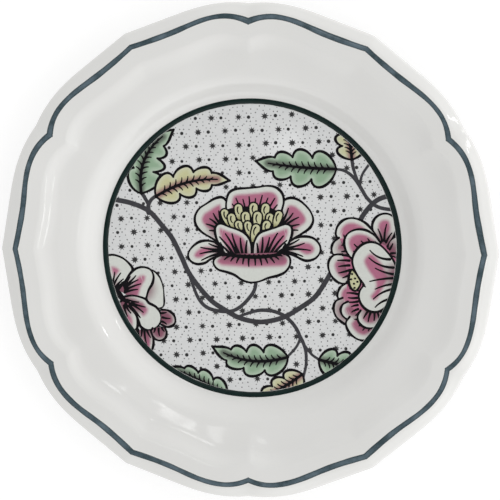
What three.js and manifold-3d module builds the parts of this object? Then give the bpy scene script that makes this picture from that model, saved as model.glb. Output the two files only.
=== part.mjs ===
// A china dinner plate: a fired body with a brace-shaped moulded rim, its glaze, a painted rim line,
// and a printed well with a border ring, a pale ground, stems, lobed leaves and three open peonies.
// Millimetres, +Z up. The origin is the centre of the foot ring, on the surface the plate stands on.
// The rim's outward points lie every 60 degrees, the first on +X.
import * as THREE from "three";
import { mergeVertices } from "three/addons/utils/BufferGeometryUtils.js";
import Module from "manifold-3d";

const wasm = await Module();
wasm.setup();

// ---------- driving dimensions ----------
const WELL_FLOOR_Z = 7.5; // top of the glaze in the flat well
const GLAZE = 0.3; // thickness of the glaze coat
const ENAMEL = 0.1; // thickness of each printed or painted layer
const PATCH_GAP = 0.3; // bare gap between two printed patches
const GROUND_RADIUS = 79.4;
const BORDER_INNER_RADIUS = 79.7;
const BORDER_OUTER_RADIUS = 82.5;
const LINE_INNER_RADIUS = 126.3; // nominal radii of the painted line on the rim's crest
const LINE_OUTER_RADIUS = 128.9;
const CREST_RADIUS = 127.6; // the highest part of the rim
const SCALLOPS = 6; // brace-shaped bays round the rim
const ROUND_SEGMENTS = 60; // facets round the plain printed rings

// Angles inside half a bay, in degrees from its outward point to the notch between two bays.
const HALF_BAY_ANGLES = [0, 9, 16, 23, 27];
const VALLEY_ANGLE = 9;
const LOBE_ANGLE = 23;
const NOTCH_ANGLE = 30;

// How far the brace outline moves the rim in or out: nominal radius, then the shift at the point,
// the valley, the lobe and the notch. Between two rows the shift is interpolated.
const RELIEF = [
  [97.5, 0, 0, 0, 0],
  [106.0, -0.7, -1.6, 2.3, -1.4],
  [113.7, 0.5, -1.3, 2.1, -1.5],
  [118.3, 0.3, -1.4, 1.6, -2.0],
  [CREST_RADIUS, 1.1, -1.4, 1.85, -2.0],
  [134.0, 0.9, -0.85, 0.78, -0.2],
  [140.0, 0.9, -0.85, 0.78, -0.2],
];

// Outer surface of the glaze as [radius, height], from the axis outwards underneath and back on top.
const RECESS_PROFILE = [
  [0, 3.0],
  [73.0, 3.0],
  [76.4, 2.7],
  [77.7, 0.8],
];
const BACK_PROFILE = [
  [82.6, 0.8],
  [84.0, 3.2],
  [91.0, 8.4],
  [98.0, 13.0],
  [106.0, 15.0],
  [114.0, 17.6],
  [123.0, 20.0],
  [132.0, 19.4],
  [134.9, 19.5],
];
const FACE_PROFILE = [
  [135.7, 20.6],
  [134.7, 22.0],
  [132.6, 23.3],
  [LINE_OUTER_RADIUS, 25.05],
  [CREST_RADIUS, 25.15],
  [LINE_INNER_RADIUS, 24.95],
  [118.3, 24.0],
  [114.2, 22.2],
  [109.3, 20.0],
  [106.0, 19.2],
  [97.5, 17.6],
  [95.0, 16.7],
  [92.2, 14.9],
  [89.0, 11.9],
  [86.2, 9.2],
  [83.2, WELL_FLOOR_Z],
  [0, WELL_FLOOR_Z],
];
const FOOT_FACE = [
  [78.5, 0],
  [81.9, 0],
];

// ---------- materials ----------
function material(color, roughness) {
  return new THREE.MeshStandardMaterial({ color, roughness, metalness: 0 });
}
const BISCUIT = material(0xe6e0d2, 0.8);
const GLAZED = material(0xd9d8d3, 0.12);
const RIM_BLUE = material(0x4e5d60, 0.3);
const BORDER_GREEN = material(0x19322f, 0.25);
const GROUND = material(0xd8d8d6, 0.25);
const CHARCOAL = material(0x2f3033, 0.3);
const PINK = material(0xb06484, 0.3);
const YELLOW = material(0xcdcb93, 0.3);
const LEAF_GREEN = material(0x8ea88c, 0.3);

// ---------- solids ----------
// A closed three.js geometry as a manifold-3d solid.
function solidOf(geometry) {
  geometry.deleteAttribute("normal");
  geometry.deleteAttribute("uv");
  const merged = mergeVertices(geometry, 1e-3);
  return new wasm.Manifold(
    new wasm.Mesh({
      numProp: 3,
      vertProperties: merged.attributes.position.array,
      triVerts: new Uint32Array(merged.index.array),
    }),
  );
}

// The largest single body of a manifold-3d solid, as a three.js geometry.
function geometryOf(solid) {
  const bodies = solid.decompose().sort((a, b) => b.volume() - a.volume());
  const mesh = bodies[0].getMesh();
  const geometry = new THREE.BufferGeometry();
  geometry.setAttribute("position", new THREE.BufferAttribute(mesh.vertProperties, 3));
  geometry.setIndex(new THREE.BufferAttribute(mesh.triVerts, 1));
  return geometry;
}

const plate = new THREE.Group();

function addPiece(name, solid, look) {
  const piece = new THREE.Mesh(geometryOf(solid), look);
  piece.name = name;
  plate.add(piece);
}

// ---------- the brace-shaped rim ----------
function mix(from, to, share) {
  return from + (to - from) * share;
}

// Shift of the outline at an angle inside half a bay: a cusp at the point, a shallow valley,
// a rounded lobe and a sharp notch.
function braceShift([point, valley, lobe, notch], angle) {
  if (angle < VALLEY_ANGLE) return mix(valley, point, (1 - angle / VALLEY_ANGLE) ** 2);
  if (angle > LOBE_ANGLE) {
    const share = (angle - LOBE_ANGLE) / (NOTCH_ANGLE - LOBE_ANGLE);
    return mix(lobe, notch, share ** 2);
  }
  const turn = (Math.PI * (angle - VALLEY_ANGLE)) / (LOBE_ANGLE - VALLEY_ANGLE);
  return mix(valley, lobe, (1 - Math.cos(turn)) / 2);
}

function reliefAt(radius) {
  if (radius <= RELIEF[0][0]) return RELIEF[0].slice(1);
  const outer = RELIEF.findIndex((row) => row[0] >= radius);
  const [low, high] = [RELIEF[outer - 1], RELIEF[outer]];
  const share = (radius - low[0]) / (high[0] - low[0]);
  return low.slice(1).map((shift, i) => mix(shift, high[i + 1], share));
}

// Every facet edge round the plate, as [angle round the plate, angle inside its half bay].
function bayAngles() {
  const bay = 360 / SCALLOPS;
  const rising = HALF_BAY_ANGLES.map((a) => [a, a]);
  const falling = HALF_BAY_ANGLES.slice(1).map((a) => [bay - a, a]);
  const oneBay = [...rising, [NOTCH_ANGLE, NOTCH_ANGLE], ...falling.reverse()];
  return Array.from({ length: SCALLOPS }, (_, n) => oneBay.map(([round, a]) => [round + n * bay, a])).flat();
}

// A closed profile turned about Z, with the brace outline pressed into it.
function turned(profile) {
  const angles = bayAngles();
  const points = profile.map(([radius, height]) => new THREE.Vector2(radius, height));
  const geometry = new THREE.LatheGeometry(points, angles.length);
  const position = geometry.attributes.position;
  for (let i = 0; i <= angles.length; i++) {
    const [round, inBay] = angles[i % angles.length];
    const theta = THREE.MathUtils.degToRad(round);
    profile.forEach(([radius, height], j) => {
      const shifted = radius + braceShift(reliefAt(radius), inBay);
      position.setXYZ(i * profile.length + j, shifted * Math.cos(theta), shifted * Math.sin(theta), height);
    });
  }
  return solidOf(geometry);
}

// A profile moved into the china by the thickness of the glaze.
function inset(profile, distance) {
  return profile.map((point, i) => {
    const before = profile[Math.max(i - 1, 0)];
    const after = profile[Math.min(i + 1, profile.length - 1)];
    const run = [after[0] - before[0], after[1] - before[1]];
    const length = Math.hypot(...run);
    const radius = point[0] === 0 ? 0 : point[0] - (run[1] / length) * distance;
    return [radius, point[1] + (run[0] / length) * distance];
  });
}

function addPlateAndGlaze() {
  const glazed = turned([...RECESS_PROFILE, ...BACK_PROFILE, ...FACE_PROFILE]);
  const outside = inset([...BACK_PROFILE, ...FACE_PROFILE], GLAZE);
  const body = turned([...inset(RECESS_PROFILE, GLAZE), ...FOOT_FACE, ...outside]);
  const coats = glazed.subtract(body).decompose();
  coats.sort((a, b) => b.volume() - a.volume());
  addPiece("plate_body", body, BISCUIT);
  addPiece("glaze_coat", coats[0], GLAZED);
  addPiece("glaze_foot_recess", coats[1], GLAZED);
  addPiece("rim_line", paintedLine().subtract(glazed), RIM_BLUE);
}

// The painted line: a thin band over the crest, before the glazed plate is cut out of it.
function paintedLine() {
  const crest = FACE_PROFILE.filter(([radius]) => radius >= LINE_INNER_RADIUS && radius <= LINE_OUTER_RADIUS);
  const raised = crest.map(([radius, height]) => [radius, height + ENAMEL]);
  const buried = 1.0; // depth below the crest, inside the plate
  const inner = [LINE_INNER_RADIUS, crest.at(-1)[1]];
  const outer = [LINE_OUTER_RADIUS, crest[0][1]];
  const under = [CREST_RADIUS, crest[0][1] - buried];
  return turned([under, outer, ...raised, inner, under]);
}

// ---------- the printed well ----------
function ring(innerRadius, outerRadius, bottom, top) {
  const section = [
    [innerRadius, bottom],
    [outerRadius, bottom],
    [outerRadius, top],
    [innerRadius, top],
    [innerRadius, bottom],
  ];
  const points = section.map(([radius, height]) => new THREE.Vector2(radius, height));
  return upright(new THREE.LatheGeometry(points, ROUND_SEGMENTS));
}

function disc(radius, bottom, top) {
  const points = [
    new THREE.Vector2(0, bottom),
    new THREE.Vector2(radius, bottom),
    new THREE.Vector2(radius, top),
    new THREE.Vector2(0, top),
  ];
  return upright(new THREE.LatheGeometry(points, ROUND_SEGMENTS));
}

// A lathe turned about Y, stood up so that it is turned about Z.
function upright(lathe) {
  const position = lathe.attributes.position;
  for (let i = 0; i < position.count; i++) {
    position.setXYZ(i, position.getZ(i), position.getX(i), position.getY(i));
  }
  return solidOf(lathe);
}

const GROUND_TOP = WELL_FLOOR_Z + ENAMEL; // the motifs lie on the ground layer

// One printed patch from a closed outline of Vector2 points, cut off by the edge of the ground.
function patch(outline) {
  const shape = new THREE.Shape(outline);
  const solid = solidOf(new THREE.ExtrudeGeometry(shape, { depth: ENAMEL, bevelEnabled: false }));
  return solid.translate(0, 0, GROUND_TOP);
}

const groundEdge = disc(GROUND_RADIUS, WELL_FLOOR_Z, GROUND_TOP + 2 * ENAMEL);

// Cuts a patch back so that it keeps the bare gap to the patches printed before it.
const printed = [];
function addPatch(name, solid, look) {
  let left = solid.intersect(groundEdge);
  for (const earlier of printed) {
    if (left.minGap(earlier, 2 * PATCH_GAP) >= PATCH_GAP) continue;
    for (let turn = 0; turn < 2 * Math.PI; turn += Math.PI / 4) {
      left = left.subtract(earlier.translate(PATCH_GAP * Math.cos(turn), PATCH_GAP * Math.sin(turn), 0));
    }
  }
  printed.push(left);
  addPiece(name, left, look);
}

// ---------- leaves ----------
// Half of a lobed leaf, from base to tip, as [along, reach] of each lobe's crest and the notch after it.
const LEAF_LOBES = [
  { crest: 1.0, end: 0.3, notch: 0.55 },
  { crest: 1.0, end: 0.55, notch: 0.5 },
  { crest: 0.72, end: 0.76, notch: 0.32 },
  { crest: 0.38, end: 1.0, notch: 0 },
];

// Each lobe's outline is one Bezier curve: how far along it its two handles lie, and how much the second
// one overshoots the crest.
const RISE_HANDLE = 0.2;
const TURN_HANDLE = 0.95;
const TURN_OVERSHOOT = 1.25;

// A point of a leaf: along its curved midrib from 0 to 1, and sideways from it in millimetres.
function leafPoint(leaf, along, sideways) {
  const base = new THREE.Vector2(...leaf.base);
  const tip = new THREE.Vector2(...leaf.tip);
  const chord = tip.clone().sub(base);
  const across = new THREE.Vector2(-chord.y, chord.x).normalize();
  const middle = base.clone().lerp(tip, 0.5).addScaledVector(across, 2 * leaf.bend);
  const midrib = new THREE.QuadraticBezierCurve(base, middle, tip);
  const heading = midrib.getTangent(along);
  return midrib.getPoint(along).add(new THREE.Vector2(-heading.y, heading.x).multiplyScalar(sideways));
}

// One side of a leaf: each lobe starts flat at the base side and turns over steeply towards the tip.
function leafSide(leaf, reach) {
  const points = [];
  let start = 0;
  let startReach = 0;
  for (const lobe of LEAF_LOBES) {
    const from = leafPoint(leaf, start, startReach * reach);
    const rise = leafPoint(leaf, mix(start, lobe.end, RISE_HANDLE), lobe.crest * reach);
    const turn = leafPoint(leaf, mix(start, lobe.end, TURN_HANDLE), lobe.crest * reach * TURN_OVERSHOOT);
    const to = leafPoint(leaf, lobe.end, lobe.notch * reach);
    points.push(...new THREE.CubicBezierCurve(from, rise, turn, to).getPoints(4).slice(0, -1));
    start = lobe.end;
    startReach = lobe.notch;
  }
  return points;
}

function leafOutline(leaf) {
  const tip = leafPoint(leaf, 1, 0);
  const right = leafSide(leaf, -leaf.right);
  const left = leafSide(leaf, leaf.left).slice(1);
  return [...right, tip, ...left.reverse()];
}

const LEAVES = {
  leaf_green_top: { base: [46.5, 44.3], tip: [2, 48.2], bend: 1, left: 11, right: 10, look: LEAF_GREEN },
  leaf_green_left: { base: [-61, 29.5], tip: [-43, 65], bend: 7, left: 8, right: 12, look: LEAF_GREEN },
  leaf_yellow_left: { base: [-53, 28], tip: [-12, 37.2], bend: 4, left: 9.5, right: 8.5, look: YELLOW },
  leaf_yellow_right: { base: [55, 49.5], tip: [52, 76], bend: 0, left: 8, right: 8, look: YELLOW },
  leaf_green_bottom: { base: [20, -59.8], tip: [-22, -54.5], bend: 5, left: 9, right: 9, look: LEAF_GREEN },
  leaf_green_low_left: { base: [-14, -82], tip: [-46, -66.5], bend: -1, left: 9, right: 7, look: LEAF_GREEN },
  leaf_green_low_right: { base: [37, -61], tip: [68, -68], bend: 0, left: 8, right: 8, look: LEAF_GREEN },
  leaf_yellow_bottom: { base: [28, -69.2], tip: [0, -86], bend: 1, left: 8, right: 7, look: YELLOW },
};

function addLeaves() {
  for (const [name, leaf] of Object.entries(LEAVES)) addPatch(name, patch(leafOutline(leaf)), leaf.look);
}

// ---------- peonies ----------
// A petal: its centre, its half length and half width, and the direction of its length in degrees.
function petal([x, y, halfLength, halfWidth, degrees]) {
  const slant = THREE.MathUtils.degToRad(degrees);
  const oval = new THREE.EllipseCurve(x, y, halfLength, halfWidth, 0, 2 * Math.PI, false, slant);
  return patch(oval.getPoints(20).slice(0, -1));
}

// Petals joined into one patch.
function petals(list) {
  return list.map(petal).reduce((joined, next) => joined.add(next));
}

const PEONY_CENTRE_FRONT = [
  [-9, -9.5, 11, 5.5, 170],
  [0, -11, 11, 7, 0],
  [10, -9, 11, 6.2, 25],
];
const PEONY_CENTRE_CUP = [
  [-11, 3.5, 12, 7, 135],
  [0, -1, 5, 3, 90],
  [12, 3.5, 12.5, 7.2, 42],
];
const PEONY_CENTRE_STAMENS = [
  [-12.5, 17.5, 5, 4.5, 0],
  [-5, 18.5, 6.5, 5.5, 90],
  [3.5, 19, 6.5, 6, 90],
  [12, 18, 5, 5.5, 0],
];
const PEONY_CENTRE_PETALS = [
  [2, 26.5, 15, 8, 0],
  [-22, 17.5, 11, 9, 50],
  [24, 18, 11, 9, 130],
  [-26, -2.5, 9.5, 6, 15],
  [28, 0, 10, 6.3, 0],
];
const PEONY_LEFT_PETALS = [
  [-73, -13, 11, 8, 120],
  [-61, -21, 10.5, 8.5, 60],
  [-58, -36, 10.5, 8, 110],
  [-68, -34, 11, 8, 110],
  [-51.5, -24, 10.5, 3, 100],
  [-47, -39, 5.5, 4.3, 100],
  [-52, -46.5, 5.5, 5, 30],
  [-58.5, -49, 8.5, 3, 120],
];
const PEONY_RIGHT_PETALS = [
  [55, 9, 12, 8.5, 30],
  [49.5, -6, 12.5, 7, 100],
  [66, -6, 11.5, 10.5, 45],
  [72.5, -17, 12, 10, 90],
  [67, -26, 9, 8.5, 45],
  [74, 10, 9.5, 7, 80],
  [56, -27, 10, 9, 110],
  [60, -41, 9.5, 8, 150],
  [66, -37, 7, 5.5, 0],
  [53, -35, 8, 7, 80],
];
const PEONY_RIGHT_POD = [[56, -16, 5, 2.6, 100]];

function addPeonies() {
  addPatch("peony_centre_front_petals", petals(PEONY_CENTRE_FRONT), PINK);
  addPatch("peony_centre_cup", petals(PEONY_CENTRE_CUP), PINK);
  addPatch("peony_centre_stamens", petals(PEONY_CENTRE_STAMENS), YELLOW);
  for (const side of ["left", "top", "right"]) addBackPetals(side);
  addPatch("peony_left", petals(PEONY_LEFT_PETALS), PINK);
  addPatch("peony_right_pod", petals(PEONY_RIGHT_POD), YELLOW);
  addPatch("peony_right", petals(PEONY_RIGHT_PETALS), PINK);
}

// The centre peony's open back petals lie left, behind and right of its cup.
function addBackPetals(side) {
  const chosen = PEONY_CENTRE_PETALS.filter(([x]) => {
    if (side === "left") return x < -10;
    if (side === "right") return x > 10;
    return Math.abs(x) <= 10;
  });
  addPatch(`peony_centre_${side}_petals`, petals(chosen), PINK);
}

// ---------- stems ----------
const THICK_STEM = 2.7;
const STEM = 2.0;
const THIN_STEM = 1.4;

// A ribbon of even width along a smooth curve through the points.
function strand(width, points) {
  const through = points.map(([x, y]) => new THREE.Vector3(x, y, 0));
  const curve = new THREE.CatmullRomCurve3(through);
  const steps = 3 * (points.length - 1);
  const sides = [[], []];
  for (let i = 0; i <= steps; i++) {
    const middle = curve.getPoint(i / steps);
    const heading = curve.getTangent(i / steps);
    const across = new THREE.Vector2(-heading.y, heading.x).multiplyScalar(width / 2);
    sides[0].push(new THREE.Vector2(middle.x, middle.y).sub(across));
    sides[1].push(new THREE.Vector2(middle.x, middle.y).add(across));
  }
  return patch([...sides[0], ...sides[1].reverse()]);
}

function joinedStrands(list) {
  return list.map(([width, points]) => strand(width, points)).reduce((joined, next) => joined.add(next));
}

const MAIN_VINE = [
  [THICK_STEM, [[-76.5, 26], [-67, 24], [-57, 20], [-44, 5], [-35, -13.6], [-22, -29.5], [-10.6, -36.5]]],
  [THICK_STEM, [[-11.5, -36], [3, -40.6], [18.7, -37.3], [34.7, -26.5], [44, -12]]],
  [THICK_STEM, [[-57, 19], [-57, 24.5]]],
  [STEM, [[-57, 23.5], [-59.5, 27.5], [-61.5, 31]]],
  [STEM, [[-57, 23.5], [-55, 27], [-51, 29.5]]],
  [STEM, [[-34, -15.8], [-29.5, -28], [-21, -34], [-12, -35.2], [-3, -29], [2.5, -17]]],
  [STEM, [[-7, -38], [3.8, -34.4], [13, -35], [19, -37.5]]],
  [STEM, [[18, -37], [24, -43.5], [26.8, -49]]],
  [THIN_STEM, [[26.6, -48], [25, -54], [19, -61]]],
  [STEM, [[26.5, -48], [29.3, -55], [30, -63], [28.5, -71]]],
  [THIN_STEM, [[28.4, -52], [32, -57], [38.5, -62]]],
];

const RIGHT_VINE = [
  [STEM, [[45, 44.2], [52, 43], [57, 38.5], [61, 31.5], [66.3, 25.5]]],
  [STEM, [[55, 51], [56, 44], [58.4, 37]]],
  [THIN_STEM, [[59.5, 34], [60.3, 40], [64, 46]]],
  [THICK_STEM, [[76, 30.5], [70, 28.5], [64.5, 23.5], [59, 15]]],
  [STEM, [[66, 25], [71, 23.2], [79, 22.4]]],
];

function addVines() {
  addPatch("vine_main", joinedStrands(MAIN_VINE), CHARCOAL);
  addPatch("vine_right", joinedStrands(RIGHT_VINE), CHARCOAL);
}

// ---------- assembly ----------
addPlateAndGlaze();
const border = ring(BORDER_INNER_RADIUS, BORDER_OUTER_RADIUS, WELL_FLOOR_Z, GROUND_TOP);
addPiece("print_border", border, BORDER_GREEN);
addPiece("print_ground", disc(GROUND_RADIUS, WELL_FLOOR_Z, GROUND_TOP), GROUND);
addPeonies();
addLeaves();
addVines();

export default plate;
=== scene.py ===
import math
import random

import bpy
import numpy as np
from mathutils import Matrix, Vector
from mathutils.geometry import delaunay_2d_cdt


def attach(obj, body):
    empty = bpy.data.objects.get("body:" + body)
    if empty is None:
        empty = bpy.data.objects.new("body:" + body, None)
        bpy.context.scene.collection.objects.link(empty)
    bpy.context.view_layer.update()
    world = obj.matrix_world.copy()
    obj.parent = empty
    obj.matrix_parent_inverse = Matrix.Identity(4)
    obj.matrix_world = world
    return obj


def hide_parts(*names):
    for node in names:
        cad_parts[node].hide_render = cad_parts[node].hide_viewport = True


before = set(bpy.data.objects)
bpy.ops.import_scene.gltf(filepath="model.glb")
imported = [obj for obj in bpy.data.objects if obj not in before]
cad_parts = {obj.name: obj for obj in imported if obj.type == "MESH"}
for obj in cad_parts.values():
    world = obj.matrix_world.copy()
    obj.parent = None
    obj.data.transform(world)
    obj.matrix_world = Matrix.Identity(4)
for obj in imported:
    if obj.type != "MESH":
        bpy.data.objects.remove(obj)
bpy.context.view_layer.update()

MM = 0.001
WELL_FLOOR = 7.5
ENAMEL = 0.1
GROUND_TOP = WELL_FLOOR + ENAMEL
GLAZE = 0.3
GROUND_RADIUS = 79.4
BORDER_INNER = 79.7
BORDER_OUTER = 82.5
LINE_RADIUS = 127.6

# ---------- the turned and brace-shaped china ----------
BAY = 60  # degrees from notch to notch
VALLEY, LOBE, NOTCH = 9, 23, 30  # degrees from the point in the middle of a bay
SEGMENTS = 396
CREASE_DEPTH = 0.25
CREASE_WIDTH = 1.6  # degrees
CREASE_START, CREASE_END = 104, 131
CREASE_FADE_IN, CREASE_FADE_OUT = 6, 4

# Nominal radius, then the outline's shift at a point, a valley, a lobe and a notch.
RELIEF = [
    (97.5, 0, 0, 0, 0),
    (106, -0.7, -1.6, 2.3, -1.4),
    (113.7, 0.5, -1.3, 2.1, -1.5),
    (118.3, 0.3, -1.4, 1.6, -2),
    (127.6, 1.1, -1.4, 1.85, -2),
    (134, 0.88, -0.85, 0.74, -0.2),
    (140, 0.88, -0.85, 0.74, -0.2),
]

# Outer surface of the glaze as (radius, height): under the foot recess, then the back from the foot
# ring to the lip, then the face from the lip to the middle.
RECESS_PROFILE = [
    (0, 3), (30, 3), (55, 3), (68, 3), (73, 3), (75.8, 2.85), (77.2, 2), (77.7, 0.8),
]
BACK_PROFILE = [
    (82.6, 0.8), (83.1, 2.2), (84.4, 3.6), (91, 8.4), (98, 13), (106, 15),
    (114, 17.6), (123, 19.8), (129.5, 19.8), (132.8, 19.5), (134.7, 19.5),
]
FACE_PROFILE = [
    (135.6, 20.3), (135.45, 21.1), (134.7, 21.9), (132.6, 23.2), (130.7, 24.3), (128.9, 25),
    (127.6, 25.1), (126.3, 24.98), (122.5, 24.55), (119.8, 24.25), (118.3, 24), (116.4, 23.3),
    (114.2, 22.2), (112, 21.05), (109.3, 19.95), (106, 19.2), (101.5, 18.35), (97.5, 17.55),
    (95, 16.7), (92.2, 14.9), (89, 11.9), (86.2, 9.2),
    (84.3, 7.95), (82.7, WELL_FLOOR), (81.7, WELL_FLOOR), (79.5, WELL_FLOOR), (74, WELL_FLOOR),
    (60, WELL_FLOOR), (30, WELL_FLOOR), (0, WELL_FLOOR),
]


def smooth_line(points, steps=6, closed=False):
    """A Catmull-Rom curve through the points, as an array of points."""
    p = np.array(points, float)
    if closed:
        p = np.vstack([p[-1], p, p[0], p[1]])
    else:
        p = np.vstack([2 * p[0] - p[1], p, 2 * p[-1] - p[-2]])
    t = np.linspace(0, 1, steps, endpoint=False)[:, None]
    spans = []
    for a, b, c, d in zip(p[:-3], p[1:-2], p[2:-1], p[3:]):
        spans.append(b + 0.5 * t * (c - a + t * (2 * a - 5 * b + 4 * c - d + t * (3 * (b - c) + d - a))))
    if not closed:
        spans.append(p[-2:-1])
    return np.vstack(spans)


def brace_shift(rows, angle):
    """Shift of the outline for arrays of (point, valley, lobe, notch) rows at an angle inside half a bay."""
    point, valley, lobe, notch = rows
    if angle < VALLEY:
        return valley + (point - valley) * (1 - angle / VALLEY) ** 2
    if angle > LOBE:
        return lobe + (notch - lobe) * ((angle - LOBE) / (NOTCH - LOBE)) ** 2
    turn = math.pi * (angle - VALLEY) / (LOBE - VALLEY)
    return valley + (lobe - valley) * (1 - math.cos(turn)) / 2


def relief_rows(radii):
    table = np.array(RELIEF, float)
    return [np.interp(radii, table[:, 0], table[:, column]) for column in range(1, 5)]


def surface(profile, theta):
    """The profile at one angle round the plate, with the brace outline pressed in, as 3-D points."""
    in_bay = math.degrees(theta) % BAY
    angle = min(in_bay, BAY - in_bay)
    radii = profile[:, 0]
    shifted = radii + brace_shift(relief_rows(radii), angle)
    crease = math.exp(-(((NOTCH - angle) / CREASE_WIDTH) ** 2))
    fade_in = np.clip((radii - CREASE_START) / CREASE_FADE_IN, 0, 1)
    reach = fade_in * np.clip((CREASE_END - radii) / CREASE_FADE_OUT, 0, 1)
    height = profile[:, 1] - CREASE_DEPTH * crease * reach
    return np.column_stack([shifted * math.cos(theta), shifted * math.sin(theta), height])


def placed(name, data):
    thing = bpy.data.objects.new(name, data)
    bpy.context.scene.collection.objects.link(thing)
    return thing


def new_mesh(name, points, faces):
    """A mesh object from points in millimetres."""
    mesh = bpy.data.meshes.new(name)
    mesh.from_pydata([tuple(p) for p in np.asarray(points) * MM], [], faces)
    mesh.validate()
    mesh.update()
    return placed(name, mesh)


def turned(name, profile, segments=SEGMENTS):
    """A closed profile turned about the plate's axis; stations on the axis become single points."""
    profile = np.asarray(profile, float)
    on_axis = profile[:, 0] < 1e-6
    points, index = [], np.zeros((segments, len(profile)), int)
    for j in np.flatnonzero(on_axis):
        index[:, j] = len(points)
        points.append((0, 0, profile[j, 1]))
    around = np.flatnonzero(~on_axis)
    for i in range(segments):
        index[i, around] = len(points) + np.arange(len(around))
        points.extend(surface(profile, 2 * math.pi * i / segments)[around])
    faces = []
    for i in range(segments):
        here, there = index[i], index[(i + 1) % segments]
        for j in range(len(profile)):
            k = (j + 1) % len(profile)
            if on_axis[j] and on_axis[k]:
                continue
            corners = [here[j], there[j], there[k], here[k]]
            faces.append(tuple(dict.fromkeys(int(c) for c in corners)))
    piece = new_mesh(name, points, faces)
    piece.data.shade_smooth()
    return piece


def inset(profile, distance):
    """The profile moved into the china by a distance."""
    profile = np.asarray(profile, float)
    run = np.gradient(profile, axis=0)
    run /= np.linalg.norm(run, axis=1)[:, None]
    moved = profile + distance * np.column_stack([-run[:, 1], run[:, 0]])
    moved[profile[:, 0] < 1e-6, 0] = 0
    return moved


def settle(piece, slot, look, *nodes):
    """Finishes a piece: its material, its body and the CAD nodes it stands for; the slot is not used."""
    piece.data.materials.append(look)
    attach(piece, "root")
    if nodes:
        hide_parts(*nodes)


# ---------- materials ----------
GLAZE_LOW = (0.76, 0.757, 0.738)
GLAZE_HIGH = (0.79, 0.788, 0.77)
GLAZE_IOR = 1.5
COAT_WEIGHT, COAT_ROUGHNESS = 0.35, 0.05
GLOSS_LOW, GLOSS_HIGH = 0.06, 0.11  # roughness of the glaze, from place to place


def node_material(name):
    material = bpy.data.materials.new(name)
    material.use_nodes = True
    tree = material.node_tree
    return material, tree, tree.nodes["Principled BSDF"]


def set_inputs(node, values):
    for name, value in values.items():
        node.inputs[name].default_value = value


def noise(tree, scale, detail=4, roughness=0.5):
    """A noise texture in the object's own coordinates, where 1 is a metre."""
    where = tree.nodes.new("ShaderNodeTexCoord")
    texture = tree.nodes.new("ShaderNodeTexNoise")
    set_inputs(texture, {"Scale": scale, "Detail": detail, "Roughness": roughness})
    tree.links.new(where.outputs["Object"], texture.inputs["Vector"])
    return texture.outputs["Fac"]


def ramp(tree, factor, stops):
    """A colour ramp of (position, colour) stops."""
    node = tree.nodes.new("ShaderNodeValToRGB")
    elements = node.color_ramp.elements
    while len(elements) < len(stops):
        elements.new(0.5)
    for element, (position, color) in zip(elements, stops):
        element.position = position
        element.color = (*color, 1)
    tree.links.new(factor, node.inputs["Fac"])
    return node.outputs["Color"]


def feed(tree, socket, value):
    """Links another node's result to a socket, or sets it to a number or a colour."""
    if isinstance(value, bpy.types.NodeSocket):
        tree.links.new(value, socket)
    elif isinstance(value, tuple):
        socket.default_value = (*value, 1)
    else:
        socket.default_value = value


def blend_colors(tree, factor, first, second, mode="MIX"):
    node = tree.nodes.new("ShaderNodeMix")
    node.data_type = "RGBA"
    node.blend_type = mode
    for number, value in ((0, factor), (6, first), (7, second)):
        feed(tree, node.inputs[number], value)
    return node.outputs[2]


def bump(tree, shader, height, strength, distance):
    node = tree.nodes.new("ShaderNodeBump")
    set_inputs(node, {"Strength": strength, "Distance": distance})
    tree.links.new(height, node.inputs["Height"])
    tree.links.new(node.outputs["Normal"], shader.inputs["Normal"])


def attribute(tree, name):
    node = tree.nodes.new("ShaderNodeAttribute")
    node.attribute_name = name
    return node.outputs["Fac"]


def mapped(tree, value, low, high):
    """Rescales a 0 to 1 value to low to high."""
    node = tree.nodes.new("ShaderNodeMapRange")
    set_inputs(node, {"To Min": low, "To Max": high})
    tree.links.new(value, node.inputs["Value"])
    return node.outputs["Result"]


def glazed(shader, tree):
    """The clear gloss that lies over the whole plate, print and painted line included."""
    set_inputs(shader, {"IOR": GLAZE_IOR, "Coat Weight": COAT_WEIGHT, "Coat Roughness": COAT_ROUGHNESS})
    tree.links.new(mapped(tree, noise(tree, 60), GLOSS_LOW, GLOSS_HIGH), shader.inputs["Roughness"])


def china_glaze():
    material, tree, shader = node_material("china_glaze")
    broad = ramp(tree, noise(tree, 14, 2), [(0.3, GLAZE_LOW), (0.7, GLAZE_HIGH)])
    fleck = ramp(tree, noise(tree, 900, 1), [(0, (0.97, 0.965, 0.95)), (0.35, (1, 1, 1))])
    color = blend_colors(tree, 1, broad, fleck, "MULTIPLY")
    tree.links.new(color, shader.inputs["Base Color"])
    glazed(shader, tree)
    bump(tree, shader, noise(tree, 45, 1.5), 0.25, 0.0004)
    return material


def bare_biscuit():
    material, tree, shader = node_material("bare_biscuit")
    color = ramp(tree, noise(tree, 120, 5), [(0.3, (0.66, 0.61, 0.52)), (0.7, (0.78, 0.74, 0.66))])
    tree.links.new(color, shader.inputs["Base Color"])
    shader.inputs["Roughness"].default_value = 0.8
    bump(tree, shader, noise(tree, 2500, 3), 0.4, 0.0001)
    return material


def enamel(name, low, high, scale=150, sheen=0.5):
    """Printed or painted colour under the gloss, slightly uneven; sheen is how much it mirrors."""
    material, tree, shader = node_material(name)
    color = ramp(tree, noise(tree, scale, 5, 0.6), [(0.3, low), (0.7, high)])
    tree.links.new(color, shader.inputs["Base Color"])
    glazed(shader, tree)
    set_inputs(shader, {"Specular IOR Level": sheen, "Coat Weight": 0.7 * sheen})
    return material


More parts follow.
